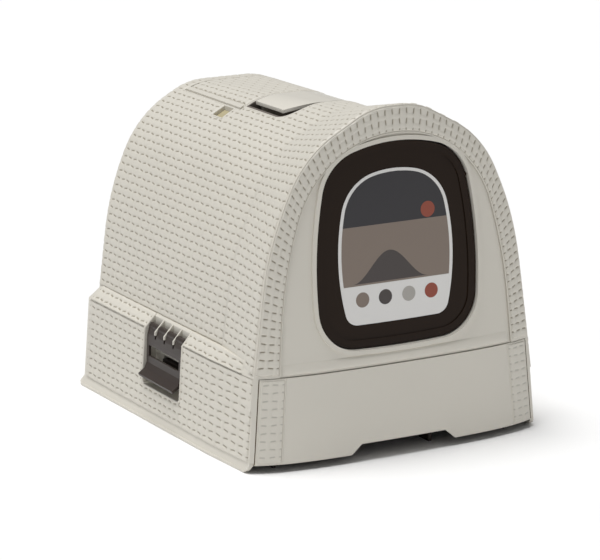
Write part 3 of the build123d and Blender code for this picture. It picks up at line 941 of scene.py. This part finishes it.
def grid_faces(rows, columns):
    """Quads of a grid of points."""
    starts = [i * columns + j for i in range(rows - 1) for j in range(columns - 1)]
    return [(a, a + 1, a + columns + 1, a + columns) for a in starts]


def spaced(corners, step=RIM_STEP):
    """Points along straight runs between corners, about a step apart."""
    line = [np.array(corners[0], float)]
    for a, b in zip(corners, corners[1:]):
        a, b = np.array(a, float), np.array(b, float)
        count = max(int(np.linalg.norm(b - a) / step), 1)
        line += [lerp(a, b, (k + 1) / count) for k in range(count)]
    return line


def seam_ledge():
    """Points of the soft ledge over the seam, which fades out at both ends."""
    verts = []
    for x in np.linspace(-LEDGE_HALF, LEDGE_HALF, LEDGE_GRID[0]):
        ends = min(1.0, (LEDGE_HALF - abs(x)) / LEDGE_FADE) ** LEDGE_END_ROUND
        for t in np.linspace(0, 1, LEDGE_GRID[1]):
            z = lerp(*LEDGE_Z, t)
            swell = LEDGE_SWELL * sin(pi * t**LEDGE_SKEW) ** LEDGE_ROUND * ends
            verts.append((x, front_y(x, z, LEDGE_SINK) - swell, z))
    return verts


class LITTER_OT_front_beads(bpy.types.Operator):
    """Raise the fine beads along the band and the drawer, a dark tube in the seam as a painted shadow
    line, and the ledge over it.
    """
    bl_idname = "litter.front_beads"
    bl_label = "Front Beads"

    def execute(self, context):
        line = PANEL[PANEL[:, 1] > BAND_BEAD_FOOT][::BAND_BEAD_SKIP]
        bead("band_bead", [(x, front_y(x, z, BAND_BEAD_SINK), z) for x, z in line], BEAD_RADIUS, "hood")
        seam = []
        for side, name in SIDES:
            points, gap = [], []
            for z in np.linspace(*DRAWER_BEAD_Z, DRAWER_BEAD_POINTS):
                edge = drawer_half(z)
                x = edge - DRAWER_BEAD_INSET
                points.append((side * x, front_y(x, z, DRAWER_BEAD_SINK), z))
                gap.append((side * (edge + GAP_OFFSET), front_y(edge, z, GAP_SINK), z))
            bead(f"drawer_bead_{name}", points, BEAD_RADIUS, "drawer")
            seam += gap if side < 0 else gap[::-1]
        # A dark brown tube along the seam, painted as the shadow in the gap
        bead("seam_gap_painted_shade", spaced(seam, GAP_STEP), GAP_RADIUS, "hood", material="brown_shade", slot="brown")
        piece_from("seam_ledge", seam_ledge(), grid_faces(*LEDGE_GRID), "cream_smooth", "hood", "cream")
        return {"FINISHED"}


def notch_limits(grow):
    """Limits of the finger notch in x and in y, grown outwards."""
    return np.array(NOTCH) + (-grow, grow, -grow, grow)


class LITTER_OT_top_rims(bpy.types.Operator):
    """Raise the smooth rims round the cup, the filter lid and the finger notch."""
    bl_idname = "litter.top_rims"
    bl_label = "Top Rims"

    def execute(self, context):
        up = (0, 0, 1)
        half, radius = CUP_HALF + CUP_RIM_OFFSET, CUP_CORNER + CUP_RIM_OFFSET
        left = [(CUP_CORNER - CUP_HALF - radius * cos(a), CUP_FRONT_Y + CUP_CORNER - radius * sin(a))
                for a in np.linspace(0, pi / 2, CUP_RIM_POINTS)]
        corners = [(-half, LID_RIM_FRONT), *left, *[(-x, y) for x, y in reversed(left)],
                   (half, LID_RIM_FRONT)]
        bead("cup_rim", on_roof(spaced(corners)), CUP_RIM_RADIUS, "hood", up)
        half, back = LID_HALF + LID_RIM_OFFSET, LID_BACK_Y + LID_RIM_OFFSET
        corners = [(-half, LID_RIM_FRONT), (-half, back), (half, back), (half, LID_RIM_FRONT)]
        bead("lid_rim", on_roof(spaced(corners)), LID_RIM_RADIUS, "hood", up)
        x_low, x_high, y_low, y_high = notch_limits(NOTCH_RIM_OFFSET)
        corners = [(x_low, y_low), (x_low, y_high), (x_high, y_high), (x_high, y_low), (x_low, y_low)]
        bead("notch_rim", on_roof(spaced(corners, NOTCH_RIM_STEP)), NOTCH_RIM_RADIUS, "hood", up)
        x_low, x_high, y_low, y_high = notch_limits(-NOTCH_FLOOR_INSET)
        plan = [(x, y) for x in np.linspace(x_low, x_high, NOTCH_FLOOR_GRID[0])
                for y in np.linspace(y_low, y_high, NOTCH_FLOOR_GRID[1])]
        # The notch floor's cream is darkened and yellowed as painted shade
        piece_from("notch_floor", on_roof(plan, -NOTCH_DEPTH), grid_faces(*NOTCH_FLOOR_GRID),
                   "cream_notch_painted_shade", "hood", "cream")
        return {"FINISHED"}


class LITTER_OT_pocket_rims(bpy.types.Operator):
    """Raise the smooth rims round the clip pockets."""
    bl_idname = "litter.pocket_rims"
    bl_label = "Pocket Rims"

    def execute(self, context):
        near, far = POCKET[0] + POCKET_RIM_INSET, POCKET[1] - POCKET_RIM_INSET
        foot, corner = POCKET_FOOT - POCKET_RIM_DROP, POCKET_RIM_CORNER
        path = spaced([(near, SHOULDER_Z), (near, SEAM_Z), (near, foot + corner), (near + corner, foot),
                       (far - corner, foot), (far, foot + corner), (far, SEAM_Z), (far, SHOULDER_Z)],
                      POCKET_RIM_STEP)
        for side, name in SIDES:
            points = []
            for y, z in path:
                slope = max(z - SEAM_Z, 0) / (SHOULDER_Z - SEAM_Z)
                x = lerp(lower_half(y, min(z, SEAM_Z)), half_at(y, SHOULDER_HALF), slope)
                points.append((side * (x + RIM_LIFT), y, z))
            bead(f"pocket_rim_{name}", points, POCKET_RIM_RADIUS, "hood", (1, 0, 0.05))
        return {"FINISHED"}


class LITTER_OT_finishes(bpy.types.Operator):
    """Give each moulding its finish."""
    bl_idname = "litter.finishes"
    bl_label = "Finishes"

    def execute(self, context):
        wanted = {"hood_shell": "cream_smooth", "litter_drawer": "cream_smooth",
                  # carry_grip gets a cream lightened as painted sheen
                  "carry_grip": "cream_gloss_painted_sheen", "filter_lid": "cream_smooth",
                  "filter_tray": "cream_smooth", "base_pan": "brown_moulding",
                  "left_clip": "brown_moulding", "right_clip": "brown_moulding",
                  "left_clip_rod": "brown_moulding", "right_clip_rod": "brown_moulding",
                  # handle_cup gets a brown lightened as painted light in the recess
                  "handle_cup": "brown_cup_painted_light", "door_flap": "smoked_door",
                  "door_label": "paper_white", "filter_pad": "carbon_felt"}
        for node, name in wanted.items():
            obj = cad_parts[node]
            obj.data.materials.clear()
            obj.data.materials.append(finish(name))
        return {"FINISHED"}


def print_shape(name, outline, material, lift):
    """Flat printed shape, lifted off the face of the label."""
    off = DOOR_THICK / 2 + LABEL_THICK + lift
    verts = [(x, FRONT_Y + DOOR_SET_BACK + LEAN * z - off, z + LEAN * off) for x, z in outline]
    piece_from(name, verts, [tuple(range(len(verts)))], material, "door", "label", False)


def label_band(low, high):
    """Outline of the printed part of the label between two heights."""
    side_x, side_z = LABEL_LINE[::-1].T
    right = [(np.interp(z, side_z, side_x), z) for z in np.linspace(low, high, LABEL_STEPS)]
    return right + [(-x, z) for x, z in reversed(right)]


def round_outline(x, z, radius, count):
    """Outline of a round shape."""
    turns = np.linspace(0, 2 * pi, count + 1)[:-1]
    return [(x + radius * cos(t), z + radius * sin(t)) for t in turns]


class LITTER_OT_door_print(bpy.types.Operator):
    """Print a plain landscape of bands and round tokens on the label."""
    bl_idname = "litter.door_print"
    bl_label = "Door Print"

    def execute(self, context):
        print_shape("print_sky", label_band(HORIZON_Z, SKY_TOP), "print_night", PRINT_LIFT)
        print_shape("print_field", label_band(FIELD_FOOT, HORIZON_Z), "print_sand", PRINT_LIFT)
        across = np.linspace(HILL_X - HILL_HALF, HILL_X + HILL_HALF, HILL_POINTS)
        hill = [(x, HILL_FOOT + HILL_RISE * cos(pi * (x - HILL_X) / (2 * HILL_HALF)) ** 2) for x in across]
        print_shape("print_hill", hill, "print_dusk", OVERPRINT_LIFT)
        print_shape("print_sun", round_outline(*DISC, DISC_POINTS), "print_clay", OVERPRINT_LIFT)
        for k, (x, tone) in enumerate(TOKENS):
            ring = round_outline(x, TOKEN_Z, TOKEN_RADIUS, TOKEN_POINTS)
            print_shape(f"print_token_{k}", ring, tone, PRINT_LIFT)
        return {"FINISHED"}


def studio_floor():
    """White floor under the part."""
    bpy.ops.mesh.primitive_plane_add(size=FLOOR_SIZE, location=(0, 0, -FLOOR_DROP))
    floor = bpy.context.object
    floor.name = "studio_floor"
    mat = bpy.data.materials.new("studio_floor")
    mat.use_nodes = True
    fill(mat.node_tree.nodes["Principled BSDF"], {"Base Color": WHITE, "Roughness": FLOOR_ROUGHNESS})
    floor.data.materials.append(mat)


def studio_light(context):
    """Even white surroundings and a soft light from above."""
    world = bpy.data.worlds.new("studio")
    context.scene.world = world
    world.use_nodes = True
    fill(world.node_tree.nodes["Background"], {"Color": WHITE, "Strength": SKY_STRENGTH})
    lamp = bpy.data.lights.new("key", "SUN")
    lamp.energy = KEY_ENERGY
    lamp.angle = radians(KEY_ANGLE)
    key = bpy.data.objects.new("key", lamp)
    context.collection.objects.link(key)
    key.rotation_euler = Vector(KEY_WAY).to_track_quat("-Z", "Y").to_euler()


def studio_camera(context):
    """Camera at the angle of the photograph."""
    lens = bpy.data.cameras.new("camera")
    lens.sensor_width = SENSOR_WIDTH
    lens.lens = FOCAL_WIDTHS * SENSOR_WIDTH
    lens.clip_end = CLIP_END
    camera = bpy.data.objects.new("camera", lens)
    context.collection.objects.link(camera)
    a, e, r = radians(CAMERA_AZIMUTH), radians(CAMERA_ELEVATION), radians(CAMERA_ROLL)
    back = Vector((sin(a) * cos(e), -cos(a) * cos(e), sin(e)))
    right = (-back).cross(Vector((0, 0, 1))).normalized()
    up = right.cross(-back)
    right, up = right * cos(r) + up * sin(r), up * cos(r) - right * sin(r)
    turn = Matrix((right, up, back)).transposed().to_4x4()
    camera.matrix_world = Matrix.Translation(CAMERA_PLACE) @ turn
    context.scene.camera = camera
    context.scene.view_settings.view_transform = "Standard"


class LITTER_OT_stage(bpy.types.Operator):
    """Floor, soft light and the camera."""
    bl_idname = "litter.stage"
    bl_label = "Stage"

    def execute(self, context):
        studio_floor()
        studio_light(context)
        studio_camera(context)
        return {"FINISHED"}


class LITTER_PT_panel(bpy.types.Panel):
    """Sizes, colours and steps of the litter box."""
    bl_idname = "LITTER_PT_panel"
    bl_label = "Litter Box"
    bl_space_type = "VIEW_3D"
    bl_region_type = "UI"
    bl_category = "Litter Box"

    def draw(self, context):
        for group in settings():
            for label in group.bl_rna.properties.keys():
                if label not in ("rna_type", "name"):
                    self.layout.prop(group, label)
        for step in STEPS:
            self.layout.operator(step.bl_idname)


STEPS = (LITTER_OT_finishes, LITTER_OT_weave_sides, LITTER_OT_weave_top, LITTER_OT_weave_back,
         LITTER_OT_weave_collar, LITTER_OT_front_beads, LITTER_OT_top_rims, LITTER_OT_pocket_rims,
         LITTER_OT_door_print, LITTER_OT_stage)
CLASSES = (WeaveSettings, FinishSettings, *STEPS, LITTER_PT_panel)


def register():
    """Register the classes and the settings."""
    for cls in CLASSES:
        bpy.utils.register_class(cls)
    bpy.types.Scene.litter_weave = bpy.props.PointerProperty(type=WeaveSettings)
    bpy.types.Scene.litter_finish = bpy.props.PointerProperty(type=FinishSettings)


def unregister():
    """Take the settings and the classes away again."""
    del bpy.types.Scene.litter_finish
    del bpy.types.Scene.litter_weave
    for cls in reversed(CLASSES):
        bpy.utils.unregister_class(cls)


def main():
    """Dress the part step by step."""
    register()
    for step in STEPS:
        group, name = step.bl_idname.split(".")
        getattr(getattr(bpy.ops, group), name)()


if __name__ == "__main__":
    main()
